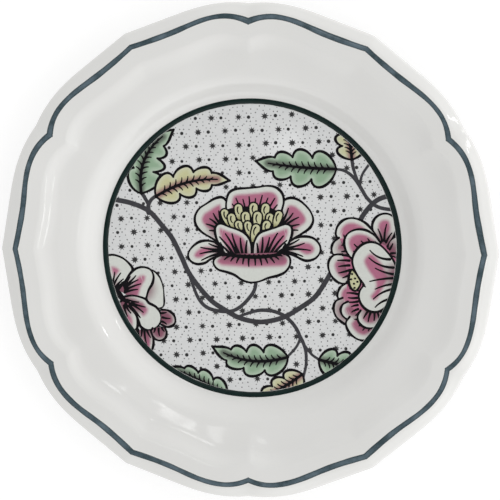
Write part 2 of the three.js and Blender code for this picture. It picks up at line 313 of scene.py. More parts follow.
def washed(name, clear, full, shadow):
    """A printed wash: clear to full colour by the wash attribute, darkened by the shade attribute."""
    material, tree, shader = node_material(name)
    grain = noise(tree, 700, 3)
    uneven = ramp(tree, grain, [(0.25, (0.93, 0.93, 0.93)), (0.75, (1, 1, 1))])
    color = blend_colors(tree, attribute(tree, "wash"), clear, full)
    color = blend_colors(tree, attribute(tree, "shade"), color, shadow)
    color = blend_colors(tree, 1, color, uneven, "MULTIPLY")
    tree.links.new(color, shader.inputs["Base Color"])
    glazed(shader, tree)
    return material


def rim_paint():
    """The hand-painted line: darker along its two edges where the colour pools, streaked lengthways."""
    material, tree, shader = node_material("rim_paint")
    streaks = noise(tree, 110, 6, 0.65)
    middle = ramp(tree, streaks, [(0.36, (0.018, 0.044, 0.056)), (0.64, (0.095, 0.14, 0.172))])
    color = blend_colors(tree, attribute(tree, "edge"), middle, (0.014, 0.034, 0.04))
    tree.links.new(color, shader.inputs["Base Color"])
    glazed(shader, tree)
    return material


# ---------- body, glaze and rim line ----------
FOOT_PROFILE = [(78.3, 0.35), (78.7, 0.02), (79.2, 0), (81.2, 0), (81.7, 0.02), (82.1, 0.35)]
LINE_HALF_WIDTH = 1.52
LINE_HEIGHT = 0.05
LINE_STEPS = 1440


def make_body_and_glaze():
    recess = smooth_line(RECESS_PROFILE, 5)
    outside = smooth_line(BACK_PROFILE + FACE_PROFILE, 4)
    glaze = china_glaze()
    inner_outside = inset(smooth_line(BACK_PROFILE + FACE_PROFILE, 2), GLAZE)
    inner_recess = inset(recess, GLAZE)
    coat = turned("glaze_coat", np.vstack([outside, inner_outside[::-1]]))
    settle(coat, "glaze", glaze, "glaze_coat")
    patch = turned("glaze_foot_recess", np.vstack([inner_recess[::-1], recess]), 240)
    settle(patch, "glaze", glaze, "glaze_foot_recess")
    body = turned("plate_body", np.vstack([inner_recess, FOOT_PROFILE, inner_outside]))
    settle(body, "biscuit", bare_biscuit(), "plate_body")


def make_rim_line():
    """A ribbon laid on the crest, as wide as the brush and wavering a little as the plate turned."""
    crest = smooth_line(FACE_PROFILE, 5)
    crest = crest[(crest[:, 0] > 120) & (crest[:, 0] < 132) & (crest[:, 1] > 22)][::-1]
    across = np.array([-1, -0.8, -0.4, 0, 0.4, 0.8, 1])
    points, edges = [], []
    for i in range(LINE_STEPS):
        theta = 2 * math.pi * i / LINE_STEPS
        half = LINE_HALF_WIDTH + 0.1 * math.sin(5 * theta + 1)
        half += 0.07 * math.sin(17 * theta) + 0.04 * math.sin(61 * theta)
        drift = 0.1 * math.sin(7 * theta + 2) + 0.05 * math.sin(23 * theta)
        radii = LINE_RADIUS + drift + half * across
        heights = np.interp(radii, crest[:, 0], crest[:, 1])
        lifted = heights + LINE_HEIGHT * (1 - 0.8 * np.abs(across) ** 6)
        points.extend(surface(np.column_stack([radii, lifted]), theta))
        edges.extend(np.clip((np.abs(across) - 0.4) / 0.6, 0, 1))
    count = len(across)
    faces = []
    for i in range(LINE_STEPS):
        for j in range(count - 1):
            here, there = i * count + j, ((i + 1) % LINE_STEPS) * count + j
            faces.append((here, here + 1, there + 1, there))
    line = new_mesh("rim_line", points, faces)
    line.data.shade_smooth()
    layer = line.data.attributes.new("edge", "FLOAT", "POINT")
    layer.data.foreach_set("value", edges)
    settle(line, "rim_blue", rim_paint(), "rim_line")


make_body_and_glaze()
make_rim_line()

# ---------- drawing the print ----------
# A fill is a closed outline; a stroke is a centre line with a half width at each point.
# Later shapes cover earlier ones. All of them end up in one flat layer of touching patches.
shapes = []


def fill(piece, paint, outline, **touch):
    """touch holds what the wash needs: its free edge, margin and shaded line."""
    outline = np.asarray(outline, float)
    shapes.append({"piece": piece, "paint": paint, "outline": outline, "line": None, **touch})


def stroke(piece, line, widths, paint="ink"):
    """A brush stroke with round ends; widths are spread evenly along the line."""
    line = np.asarray(line, float)
    along = np.concatenate([[0], np.cumsum(np.linalg.norm(np.diff(line, axis=0), axis=1))])
    half = np.interp(along / along[-1], np.linspace(0, 1, len(widths)), widths) / 2
    ahead = np.gradient(line, axis=0)
    ahead /= np.maximum(np.linalg.norm(ahead, axis=1), 1e-9)[:, None]
    left = np.column_stack([-ahead[:, 1], ahead[:, 0]]) * half[:, None]
    caps = [round_cap(line[-1], ahead[-1], half[-1]), round_cap(line[0], -ahead[0], half[0])]
    outline = np.vstack([line - left, caps[0], (line + left)[::-1], caps[1]])
    shapes.append({"piece": piece, "paint": paint, "outline": outline, "line": line, "half": half})


def round_cap(centre, ahead, radius, steps=5):
    turns = np.linspace(-math.pi / 2, math.pi / 2, steps + 2)[1:-1]
    c, s = np.cos(turns), np.sin(turns)
    return centre + radius * np.column_stack([ahead[0] * c - ahead[1] * s, ahead[1] * c + ahead[0] * s])


def at(line, share):
    """The point at a share of the length of a line."""
    line = np.asarray(line, float)
    along = np.concatenate([[0], np.cumsum(np.linalg.norm(np.diff(line, axis=0), axis=1))])
    return np.array([np.interp(share * along[-1], along, line[:, k]) for k in (0, 1)])


def bowed(start, end, bow, steps=6):
    """A gently curved line from start to end; bow is its sideways share of the length."""
    start, end = np.asarray(start, float), np.asarray(end, float)
    across = np.array([start[1] - end[1], end[0] - start[0]])
    t = np.linspace(0, 1, steps + 1)[:, None]
    return start + (end - start) * t + across * bow * 4 * t * (1 - t)


OUTLINE_SWELL = (1, 0.8, 1.2, 0.9, 0.75, 1.25, 0.85, 1)


def petal(piece, edge, margin=3, hatch=5, reach=0.62, spread=(0.12, 0.88), root=None,
          line=1.35, bow=0.04, soft=2.2, thick=1.2, start=0.1, band=None):
    """A petal open at its root: pink inside a pale free edge, with strokes fanning out from there."""
    curve = smooth_line(edge, 6)
    root = [edge[0], edge[-1]] if root is None else root
    middle = np.mean(np.asarray(root, float), axis=0)
    fill(piece, "petal", curve, free=curve, margin=margin, soft=soft, root=middle, band=band)
    for i in range(hatch):
        share = spread[0] + (spread[1] - spread[0]) * (i + 0.5) / hatch
        origin = at(root, share)
        target = at(curve, share)
        length = reach * (1 if i % 2 else 0.9)
        first, last = origin + (target - origin) * start, origin + (target - origin) * length
        vein = bowed(first, last, bow if share > 0.5 else -bow)
        stroke(piece, vein, [thick * 1.3, thick, thick * 0.6])
    stroke(piece, curve, [line * swell for swell in OUTLINE_SWELL])


# Leaves. Each lobe as the share of the midrib where it ends, its crest and the notch after it.
LOBES = [(0.3, 1, 0.55), (0.55, 1, 0.5), (0.77, 0.74, 0.36), (1, 0.46, 0)]


def leaf_point(leaf, along, sideways):
    base, tip = np.array(leaf["base"], float), np.array(leaf["tip"], float)
    chord = tip - base
    across = np.array([-chord[1], chord[0]]) / np.linalg.norm(chord)
    middle = (base + tip) / 2 + across * 2 * leaf["bend"]
    point = (1 - along) ** 2 * base + 2 * along * (1 - along) * middle + along ** 2 * tip
    heading = 2 * (1 - along) * (middle - base) + 2 * along * (tip - middle)
    heading /= np.linalg.norm(heading)
    return point + sideways * np.array([-heading[1], heading[0]])


def leaf_side(leaf, reach):
    start, start_reach, lobes = 0, 0, []
    for end, crest, notch in LOBES:
        early, late, over = (0.2, 0.95, 1.25) if notch else (0.4, 0.75, 0.2)
        from_point = leaf_point(leaf, start, start_reach * reach)
        rise = leaf_point(leaf, start + (end - start) * early, crest * reach)
        turn = leaf_point(leaf, start + (end - start) * late, crest * reach * over)
        to_point = leaf_point(leaf, end, notch * reach)
        t = np.linspace(0, 1, 13)[:, None]
        bezier = (1 - t) ** 3 * from_point + 3 * t * (1 - t) ** 2 * rise
        bezier = bezier + 3 * t ** 2 * (1 - t) * turn + t ** 3 * to_point
        lobes.append(bezier)
        start, start_reach = end, notch
    return lobes


def draw_leaf(name, leaf, paint, barbs=9, line=1.3):
    right, left = leaf_side(leaf, -leaf["right"]), leaf_side(leaf, leaf["left"])
    outline = np.vstack([lobe[:-1] for lobe in right] + [lobe[:0:-1] for lobe in left[::-1]])
    midrib = np.array([leaf_point(leaf, t, 0) for t in np.linspace(0, 0.84, 22)])
    fill(name, paint, outline, midrib=midrib, free=np.vstack([outline, outline[:1]]))
    stroke(name, midrib, [1.6, 1.7, 1.4, 0.8])
    length = np.linalg.norm(np.subtract(leaf["tip"], leaf["base"]))
    for side in (1, -1):
        for i in range(barbs):
            along = 0.07 + 0.7 * (i + (0.5 if side > 0 else 0)) / barbs
            reach = 3.3 * math.sin(math.pi * (0.3 + 0.6 * i / (barbs - 1)))
            first = leaf_point(leaf, along, 0)
            last = leaf_point(leaf, along + 2.2 / length, side * reach)
            stroke(name, bowed(first, last, -0.1 * side), [1.15, 0.95, 0.6])
    for lobe in right + left:
        stroke(name, lobe, [line * 0.8, line * 1.3, line * 0.95])


LEAVES = {
    "leaf_green_top": dict(base=(46.5, 44.3), tip=(2, 48.2), bend=1, left=11, right=10),
    "leaf_green_left": dict(base=(-61, 29.5), tip=(-43, 65), bend=7, left=8, right=12),
    "leaf_yellow_left": dict(base=(-53, 28), tip=(-12, 37.2), bend=4, left=9.5, right=8.5),
    "leaf_yellow_right": dict(base=(55, 49.5), tip=(52, 76), bend=0, left=8, right=8),
    "leaf_green_bottom": dict(base=(20, -59.8), tip=(-22, -54.5), bend=5, left=9, right=9),
    "leaf_green_low_left": dict(base=(-14, -82), tip=(-46, -66.5), bend=-1, left=9, right=7),
    "leaf_green_low_right": dict(base=(37, -61), tip=(68, -68), bend=0, left=8, right=8),
    "leaf_yellow_bottom": dict(base=(28, -69.2), tip=(0, -86), bend=1, left=8, right=7),
}


def draw_leaves():
    for name, leaf in LEAVES.items():
        draw_leaf(name, leaf, "green" if "green" in name else "yellow")


THICK, STEM, THIN = 2.7, 2, 1.4
MAIN_VINE = [
    ([THICK], [(-80, 26.5), (-74, 25.7), (-66, 24), (-57, 20), (-50, 12.5), (-44, 5), (-39, -5),
               (-35, -13.6), (-29, -22), (-22, -29.5), (-16, -33.5), (-10, -37)]),
    ([THICK], [(-13, -35.5), (-6, -38.8), (3, -40.6), (11, -39.8), (18.7, -37.3), (27, -32.3),
               (34.7, -26.5), (40, -19), (44, -12)]),
    ([THICK, STEM], [(-57, 19), (-57.2, 22), (-57, 24.5)]),
    ([STEM], [(-57, 23.5), (-59, 27), (-61.5, 31)]),
    ([STEM], [(-57, 23.5), (-55.3, 26.5), (-51, 29.5)]),
    ([THIN, STEM, STEM, STEM], [(-35, -14), (-32.5, -21), (-29.5, -28), (-25.5, -32.5), (-20, -34.6),
                                (-12, -35), (-6.5, -32.5), (-1.5, -27.5), (1.6, -22.5), (2.5, -16)]),
    ([THIN, STEM, STEM], [(-9, -38.5), (-3, -36.2), (4, -34.2), (11, -34.4), (16, -36), (20, -38)]),
    ([STEM], [(18, -37), (22, -40.5), (25.2, -45), (26.8, -49)]),
    ([THIN], [(26.6, -48), (26.2, -51), (24, -55), (19, -60.5)]),
    ([STEM, THIN], [(26.5, -48), (28.5, -52), (29.9, -57), (30, -64), (28.5, -71)]),
    ([THIN], [(28, -51.5), (30.5, -55), (33.5, -58.5), (38, -61.5)]),
]
RIGHT_VINE = [
    ([THIN, STEM, STEM], [(45, 44.2), (50, 43.7), (54, 41.5), (57, 38.5), (60, 34), (63, 29),
                          (66.3, 25.5)]),
    ([STEM, THIN], [(55, 50), (55.6, 45.5), (57, 41), (59, 36)]),
    ([THIN], [(59.5, 34), (59.7, 38), (61, 42), (64, 46.5)]),
    ([THICK], [(78, 30), (73.5, 29.4), (69, 27.5), (65, 24), (61.5, 19.5), (59, 15)]),
    ([STEM], [(66, 25.5), (70, 23.5), (75, 22.5), (80, 22.4)]),
]


def draw_vines():
    for name, vine in (("vine_main", MAIN_VINE), ("vine_right", RIGHT_VINE)):
        for widths, points in vine:
            if len(widths) == 1:
                widths = widths * 2
            stroke(name, smooth_line(points, 6), widths, paint="stem")


# ---------- the three peonies ----------
def stamen(piece, x, y, radius, length, lean):
    """One anther seen from the front: a rounded tongue with a dark outline and a curved slit."""
    turns = np.linspace(0, math.pi, 9)
    head = np.column_stack([x + radius * np.cos(turns), y + radius * np.sin(turns)])
    tip = np.array([x + lean, y - length])
    side_right = bowed(tip + (0.9, 0), head[0], -0.08, 4)[:-1]
    side_left = bowed(head[-1], tip - (0.9, 0), -0.08, 4)[1:]
    outline = np.vstack([side_right, head, side_left])
    fill(piece, "stamen", outline, root=tip, free=head, margin=0.5, soft=3, dark=(0.8, 3))
    stroke(piece, outline, [0.75, 0.9, 0.95, 0.75])
    low, high = (x + lean * 0.55, y - length * 0.5), (x - 0.1 * radius, y + 0.2 * radius)
    stroke(piece, bowed(low, high, 0.16), [0.55, 0.8, 0.85])


def draw_centre_peony():
    left, right = "peony_centre_left_petals", "peony_centre_right_petals"
    top = "peony_centre_top_petals"
    petal(left, [
        (-15, -4), (-19, -4.6), (-22.5, -6), (-26, -8.4), (-30.5, -9), (-34, -7.2), (-35.2, -3.8),
        (-33.4, -0.2), (-29.5, 3), (-25, 4), (-20.5, 3.2), (-15, 1)
    ], margin=3.4, hatch=6, reach=0.75, spread=(0.2, 0.9))
    petal(left, [
        (-18, 3), (-22.5, 5.6), (-27.5, 8.6), (-30.8, 12.4), (-31.4, 17), (-29.2, 21.4), (-25, 24.4),
        (-20.5, 27.2), (-16.6, 28), (-14, 25.8), (-13, 21), (-14, 16)
    ], margin=4, hatch=6, reach=0.55, spread=(0.2, 0.85), root=[(-18, 6), (-16, 17)])
    petal(right, [
        (15, 1), (20, 3.4), (24, 6), (29, 7), (34, 6), (37.4, 2.4), (37.6, -1.6), (35, -5), (30.5, -6.4),
        (26.5, -5.2), (22, -2.4), (16, -2)
    ], margin=3.4, hatch=6, reach=0.75, spread=(0.12, 0.82))
    petal(right, [
        (17, 16), (15, 21), (16.6, 25.6), (20.4, 28), (25, 27.4), (29, 24.6), (32.4, 20.6), (33.8, 16),
        (32, 11.8), (28, 8.8), (23.4, 6), (19.4, 3)
    ], margin=4, hatch=6, reach=0.58, spread=(0.15, 0.8), root=[(16, 18), (18.5, 7)])
    petal(top, [
        (-12, 16), (-14, 21), (-14, 26), (-12.6, 30.4), (-9, 32.6), (-3, 33.2), (3, 33.8), (9, 34.6),
        (13.6, 33.6), (16.8, 30.4), (17.6, 26), (16.4, 21), (14, 16)
    ], margin=3.2, hatch=9, reach=0.72, spread=(0.18, 0.82), root=[(-11, 16), (13, 16)], bow=0.01)
    draw_stamens()
    draw_cup_and_front()


def draw_stamens():
    piece = "peony_centre_stamens"
    bed = [
        (-17.5, 12), (-17.5, 18), (-13.5, 21.4), (-8, 22.6), (0, 23.4), (8, 23.2), (13.4, 21.2),
        (17.2, 18.5), (17, 12.5), (8, 8), (0.4, -2), (-8, 8)
    ]
    fill(piece, "ink", smooth_line(bed, 4, closed=True))
    back = [(-7.4, 22.2, 2.5, 6.5, 0.6), (1, 22.9, 2.6, 6.5, -0.2), (7.6, 22.6, 2.6, 6.5, -0.8)]
    middle = [(-15, 19.4, 2.4, 7, 2.2), (-11.2, 17, 2.5, 6, 1), (-3.4, 18, 2.6, 6.5, 0.4),
              (3.2, 18, 2.7, 7, -0.4), (10, 17.4, 2.4, 6, -0.8), (14.9, 18.8, 2.4, 7, -2.2)]
    front = [(-7.3, 13.2, 2.4, 4.5, 1), (-2.2, 12.9, 2.4, 6.5, 1.4), (8.2, 13.2, 2.6, 4.5, -1.2),
             (2.4, 11.2, 2.5, 7.5, -1.8)]
    for x, y, radius, length, lean in back + middle + front:
        stamen(piece, x, y, radius, length, lean)


def draw_cup_and_front():
    cup, front = "peony_centre_cup", "peony_centre_front_petals"
    heart = [(-16, -3.8), (16, -3.4)]
    petal(cup, [
        (-14, -4.2), (-17.2, 0.5), (-19.6, 5.5), (-20.4, 10), (-19.2, 12.8), (-16.6, 13.4), (-12.5, 11.8),
        (-8, 10.4), (-4.4, 8.8), (-1.8, 6), (-0.4, 2), (0.1, -4.2)
    ], margin=2.6, hatch=6, reach=0.76, spread=(0.14, 0.82), bow=0.03, thick=1.35, start=0)
    petal(cup, [
        (0.5, -4.2), (0.9, 1.5), (2.2, 5.8), (4.6, 8.8), (8.4, 10.3), (12.6, 11.6), (16.4, 13), (19, 13.6),
        (21.6, 12.4), (22.3, 9), (21, 4.5), (18.4, 0), (15, -4.2)
    ], margin=2.6, hatch=7, reach=0.74, spread=(0.16, 0.88), bow=0.03, thick=1.35, start=0)
    stroke(cup, [(0.3, -4.4), (0.3, 1.5)], [2, 1.2])
    petal(front, [
        (-16, -3.4), (-20, -5.4), (-21.2, -8.4), (-18.8, -11.8), (-14, -13.2), (-9.5, -14.8), (-5.6, -17.4),
        (-1, -18.8), (4, -18.2), (9, -16.2), (14.4, -14.8), (18.6, -12.6), (21, -8.8), (20.8, -4.6),
        (17, -2)
    ], margin=1.6, soft=1.6, hatch=12, reach=0.42, spread=(0.03, 0.97), bow=0.05, root=heart, start=0.02,
       band=([(-15, -4), (0, -4.8), (16, -4)], 5.6))
    rim = [(-18, -2), (-13, -3.6), (-6, -4.4), (1, -4.7), (8, -4.3), (14, -3.2), (19, -0.6)]
    stroke(front, smooth_line(rim, 5), [1, 2, 2.2, 2.2, 2, 1.8])
    for x in (-17.4, 18.6):
        stroke(front, bowed((x, 2.6), (x + (0.8 if x < 0 else -0.6), -2.4), 0), [1.4, 3.2, 2.4])


def draw_left_peony():
    piece = "peony_left"
    petal(piece, [
        (-81, -22), (-84, -14), (-83, -7), (-78, -4.6), (-72.5, -5.8), (-68.6, -8.6), (-66, -12.2),
        (-67.4, -16), (-70.6, -20.4), (-75, -24.4)
    ], margin=6.5, spread=(0.45, 0.95), root=[(-82, -26), (-76, -25)])
    petal(piece, [
        (-62, -14), (-56, -12.6), (-52, -15.2), (-49.6, -20), (-48.7, -26), (-49.2, -33), (-56, -34)
    ], margin=20, hatch=2, reach=0.5, spread=(0.25, 0.5), line=0.9, root=[(-60, -16), (-62, -30)])
    petal(piece, [
        (-74, -24), (-70, -18.8), (-67, -14.4), (-63.6, -11.8), (-59.6, -11.2), (-56, -12.6), (-54.4, -16),
        (-55, -20), (-57.2, -24), (-58.4, -28), (-60, -32)
    ], margin=4.6, hatch=7, reach=0.6, spread=(0.12, 0.8), root=[(-72, -19), (-72, -28)])
    petal(piece, [
        (-72, -28), (-66, -27), (-59.4, -28.6), (-57, -31), (-53, -33.2), (-50.4, -37), (-50.4, -41.2),
        (-53, -44.6), (-57.5, -46.2), (-61.4, -44.4), (-63, -40.4), (-65, -35.4), (-70, -31)
    ], margin=2.8, reach=0.58, spread=(0.25, 0.78), root=[(-71, -28.5), (-70, -31)],
       band=([(-73, -29), (-67, -31), (-63, -33.5)], 5.6))
    petal(piece, [
        (-66, -30.5), (-68, -33), (-64.2, -37.6), (-63.2, -42), (-64.2, -46), (-68, -48), (-76, -44),
        (-76, -33), (-72, -30)
    ], hatch=3, reach=0.5, spread=(0.1, 0.5), root=[(-70, -31), (-73, -31)])
    for lobe in (
        [(-50.2, -34.6), (-46.4, -35), (-43.4, -37.2), (-42.3, -40.4), (-43.4, -43), (-46.6, -44.2),
         (-50, -43)],
        [(-48.5, -44), (-47.2, -47.2), (-48, -50.4), (-51.2, -51.8), (-54.4, -50.4), (-56, -47), (-55, -45)],
    ):
        petal(piece, lobe, margin=1.7, hatch=3, soft=1.2, thick=1.1)
    petal(piece, [
        (-56, -46.4), (-54.6, -51), (-54.8, -55.4), (-56.6, -58.4), (-60.4, -55.6), (-62.6, -50), (-63, -46)
    ], margin=1.8, hatch=3, reach=0.7, soft=1.2, thick=1.1, root=[(-57.5, -45.5), (-62, -45)])
    stroke(piece, smooth_line([(-64, -46), (-67, -50), (-69, -54)], 4), [2, 5, 3])
    fold = [(-77.5, -24), (-74.4, -25.6), (-71.4, -29), (-68, -31)]
    stroke(piece, smooth_line(fold, 4), [3.6, 3.8, 2.8, 1.4])


def draw_right_peony():
    piece = "peony_right"
    bed = np.array([
        (82, 12), (68, 6), (60, 13), (51, 12), (47.5, 4), (46, -8), (49, -16), (52, -22), (51, -30),
        (54, -40), (62, -46), (80, -40)
    ], float)
    fill(piece, "petal", bed, free=bed + (-40, 0), margin=1, soft=1, root=np.array((40, 0)))
    petal(piece, [
        (70, 4.4), (67.4, 8.4), (66.2, 13), (67.4, 17), (70.6, 19.6), (74.8, 20), (78.4, 17.6), (79.6, 12),
        (77.6, 7), (74.6, 2)
    ], margin=3.4, hatch=3, reach=0.66, spread=(0.22, 0.8), root=[(71.4, 4), (74, 3)], thick=1.1)
    petal(piece, [
        (74.8, 1), (75.6, 4.2), (78, 6.8), (82, 8), (83, -4), (76.6, -3)
    ], margin=9, hatch=2, reach=0.5, line=0.9)
    lobes = [
        (70, 5.4), (66.6, 10.6), (62, 15.2), (56, 17.4), (50.6, 16.4), (47.2, 12.8), (46.2, 8.6),
        (47.2, 6.2)
    ]
    petal(piece, lobes, margin=2.6, reach=0.6, spread=(0.3, 0.97), root=[(70, 3), (50, -2)],
          start=0.28)
    petal(piece, [
        (48, 6.6), (44.8, 3.6), (43.9, 0), (45.6, -3), (53, -3)
    ], margin=3.4, hatch=2, reach=0.5, spread=(0.2, 0.7), root=[(54, 6), (54, -4)])
    petal(piece, [
        (50, -2.6), (45.4, -3), (42.6, -6), (42.2, -10), (43.8, -14.4), (46.8, -17.6), (50.4, -18.8),
        (54, -18)
    ], margin=3.6, hatch=6, spread=(0.08, 0.94), root=[(55, -1), (55, -18)], bow=0.02)
    petal(piece, [
        (71, 4), (67.6, 8), (63, 10.8), (57.6, 11.2), (53, 9), (50.9, 5), (51.4, 0.6), (53.6, -3.4),
        (56, -6)
    ], margin=2.6, reach=0.58, spread=(0.1, 0.85), root=[(72, 1), (58, -4)], start=0.12)
    petal(piece, [
        (52.4, -18.2), (48.8, -20.8), (47.3, -25), (48.6, -29), (52, -32)
    ], margin=2, hatch=4, reach=0.6, root=[(60, -20), (60, -31)], spread=(0.15, 0.85), start=0.15)
    petal(piece, [
        (50, -26.6), (46.4, -28.4), (45.1, -32), (46, -36), (48.6, -39.2), (52.4, -41.4), (56, -40)
    ], margin=6, hatch=0, reach=0.5)
    petal(piece, [
        (53, -28.6), (50.2, -30.2), (49, -33.4), (50.4, -36.8), (54, -38.8), (60, -38)
    ], margin=2.6, hatch=3, reach=0.5, root=[(60, -27), (60, -37)], spread=(0.2, 0.8), start=0.15)
    petal(piece, [
        (54, -37), (52, -40), (52.6, -43.6), (55, -47), (58.8, -49.5), (63.4, -49.8), (70, -46)
    ], margin=3.2, hatch=4, reach=0.5, root=[(60, -36), (68, -42)], spread=(0.3, 0.95))
    draw_right_heart()


HEART_VEINS = [
    ((65, -0.2), (76, -5), -0.12), ((64.5, -4.3), (78, -9.5), -0.1), ((68, -10), (79, -13.3), -0.05),
    ((65, -17.3), (79, -15.3), 0.03), ((68, -21.5), (79, -18.5), 0.05), ((67, -27), (78, -21.3), 0.08),
    ((68, -31.5), (75.5, -27), 0.08),
]
POD_SEEDS = [(55.2, -13.4), (56.9, -15.8), (54.7, -16.3), (58.2, -17.6), (56.3, -18.7), (56.6, -21)]


def draw_right_heart():
    piece, pod = "peony_right", "peony_right_pod"
    petal(piece, [
        (60, -33.4), (58.4, -36.4), (58.9, -39.8), (61.4, -42.3), (65, -43.2), (69, -42), (74, -36),
        (72, -33)
    ], reach=0.66, root=[(62, -33), (72, -33)], spread=(0.2, 0.9), start=0.05)
    heart = [
        (80, -10), (77.6, -5), (74.2, -0.6), (70, 3.2), (65.4, 4.4), (60.8, 3), (57.2, -0.6), (55.4, -5),
        (55.9, -9.4), (58.4, -14.4), (61.6, -18.8), (61.6, -19.6), (59.6, -22.4), (59, -26.2),
        (60.6, -30.4), (64.4, -33.6), (69.4, -34), (74, -31), (77.6, -25), (81, -18)
    ]
    petal(piece, heart, margin=6.6, soft=2.4, hatch=0, root=[(80, -14), (81, -14)])
    for first, last, bow in HEART_VEINS:
        stroke(piece, bowed(first, last, bow), [0.7, 1.15, 1.6])
    stroke(piece, [(61.4, -19.2), (62.6, -20.4)], [1.6, 0.7])
    body = smooth_line([
        (54.9, -11), (53.6, -14), (53.4, -18), (54.8, -21.4), (57.2, -22.6), (59, -20.8), (60, -18),
        (58.6, -15), (56.6, -12)
    ], 5, closed=True)
    fill(pod, "stamen", body, root=np.array((56.5, -11)), free=body, margin=0.6, soft=3,
         dark=(0.5, 3))
    stroke(pod, np.vstack([body, body[:1]]), [1.3, 1.7, 1.3, 1, 1.2])
    for x, y in POD_SEEDS:
        stroke(pod, bowed((x - 0.1, y), (x + 0.1, y), 0), [1.2, 1.2])


# ---------- one flat layer of touching patches ----------
def inside_outline(points, outline):
    """Which points lie inside a closed outline, by counting crossings."""
    x, y = points[:, 0:1], points[:, 1:2]
    ax, ay = outline[:, 0], outline[:, 1]
    bx, by = np.roll(ax, -1), np.roll(ay, -1)
    spans = (ay > y) != (by > y)
    rise = np.where(by == ay, 1, by - ay)
    crossing = ax + (y - ay) * (bx - ax) / rise
    return (np.sum(spans & (x < crossing), axis=1) % 2) == 1


def distance_to_line(points, line, half=None):
    """Distance from each point to a line, less the line's half width where one is given."""
    a, b = line[:-1], line[1:]
    run = b - a
    share = np.sum((points[:, None] - a) * run, axis=2) / np.maximum(np.sum(run * run, axis=1), 1e-9)
    share = np.clip(share, 0, 1)
    away = np.linalg.norm(points[:, None] - (a + share[..., None] * run), axis=2)
    if half is not None:
        away = away - (half[:-1] + share * (half[1:] - half[:-1]))
    return away.min(axis=1)


def covers(shape, points):
    low, high = shape["outline"].min(axis=0), shape["outline"].max(axis=0)
    near = np.flatnonzero(np.all((points >= low) & (points <= high), axis=1))
    if not len(near):
        return near
    if shape["line"] is None:
        return near[inside_outline(points[near], shape["outline"])]
    return near[distance_to_line(points[near], shape["line"], shape["half"]) <= 0]


def arrangement():
    """Cuts the disc along every outline: the points, triangles and topmost shape of each."""
    turns = np.linspace(0, 2 * math.pi, 361)[:-1]
    loops = [GROUND_RADIUS * np.column_stack([np.cos(turns), np.sin(turns)])]
    loops += [shape["outline"] for shape in shapes]
    points, edges = [], []
    for loop in loops:
        first = len(points)
        points.extend(map(tuple, loop))
        edges.extend((first + i, first + (i + 1) % len(loop)) for i in range(len(loop)))
    points.extend(wash_grid())
    made = delaunay_2d_cdt([Vector(p) for p in points], edges, [], 0, 1e-4)
    flat = np.array([tuple(v) for v in made[0]])
    triangles = np.array([f for f in made[2] if len(f) == 3])
    middles = flat[triangles].mean(axis=1)
    top = np.full(len(triangles), -1)
    for number, shape in enumerate(shapes):
        top[covers(shape, middles)] = number
    top[np.linalg.norm(middles, axis=1) > GROUND_RADIUS] = -1
    return flat, triangles, top


def wash_grid(pitch=1):
    """Points inside the washed shapes, close enough together to carry the shading of the wash."""
    steps = np.arange(-GROUND_RADIUS, GROUND_RADIUS, pitch)
    grid = [(x + (pitch / 2 if row % 2 else 0), y) for row, y in enumerate(steps) for x in steps]
    grid = np.array(grid)
    grid = grid[np.linalg.norm(grid, axis=1) < GROUND_RADIUS - pitch / 2]
    wanted = np.zeros(len(grid), bool)
    for shape in shapes:
        if shape["line"] is None and shape["paint"] != "ink":
            wanted[covers(shape, grid)] = True
    return [tuple(p) for p in grid[wanted]]


def smooth_step(value, low, high):
    share = np.clip((value - low) / (high - low), 0, 1)
    return share * share * (3 - 2 * share)


LEAF_FADE = (0.6, 3.6)
PETAL_FADE = (2, 11)
BAND_FADE = 1.4
BAND_CORE = 0.5


def wash_and_shade(shape, points):
    """How full the colour is, and how shaded, at points of a washed shape."""
    if "free" not in shape:
        return np.zeros(len(points)), np.zeros(len(points))
    edge = distance_to_line(points, shape["free"])
    if "midrib" in shape:
        shade = 1 - smooth_step(distance_to_line(points, shape["midrib"]), *LEAF_FADE)
        return smooth_step(edge, *LEAF_FADE), shade
    wash = smooth_step(edge, shape["margin"] - shape["soft"] / 2, shape["margin"] + shape["soft"] / 2)
    root = np.linalg.norm(points - shape["root"], axis=1)
    shade = 1 - smooth_step(root, *shape.get("dark", PETAL_FADE))
    if shape.get("band") is not None:
        line, reach = shape["band"]
        away = distance_to_line(points, np.asarray(line, float))
        wash = wash * (1 - smooth_step(away, reach - BAND_FADE, reach + BAND_FADE))
        shade = 1 - smooth_step(away, BAND_CORE, reach)
    return wash, shade


PAINTS = ["petal", "stamen", "green", "yellow", "ink", "stem"]
MOTIF_HEIGHT = 0.07


def make_patch(name, flat, triangles, owners, looks):
    """One piece of the print as a thin solid, its top painted as the shapes that own its triangles."""
    used, local = np.unique(triangles, return_inverse=True)
    local = local.reshape(-1, 3)
    count = len(used)
    top = np.column_stack([flat[used], np.full(count, GROUND_TOP + MOTIF_HEIGHT)])
    bottom = np.column_stack([flat[used], np.full(count, GROUND_TOP)])
    sides = {}
    for a, b, c in local:
        for edge in ((a, b), (b, c), (c, a)):
            sides[edge] = edge
    walls = [(b, a, a + count, b + count) for a, b in sides if (b, a) not in sides]
    faces = [tuple(t) for t in local] + [tuple(t[::-1] + count) for t in local] + walls
    mesh = bpy.data.meshes.new(name)
    points = [tuple(p) for p in np.vstack([top, bottom]) * MM]
    mesh.from_pydata(points, [], [tuple(map(int, f)) for f in faces])
    paints = sorted({shapes[o]["paint"] for o in owners}, key=PAINTS.index)
    for paint in paints:
        mesh.materials.append(looks[paint])
    face_paint = [paints.index(shapes[o]["paint"]) for o in owners]
    indices = face_paint + face_paint + [len(paints) - 1] * len(walls)
    mesh.polygons.foreach_set("material_index", indices)
    store_wash(mesh, flat[triangles], owners)
    mesh.update()
    return placed(name, mesh)


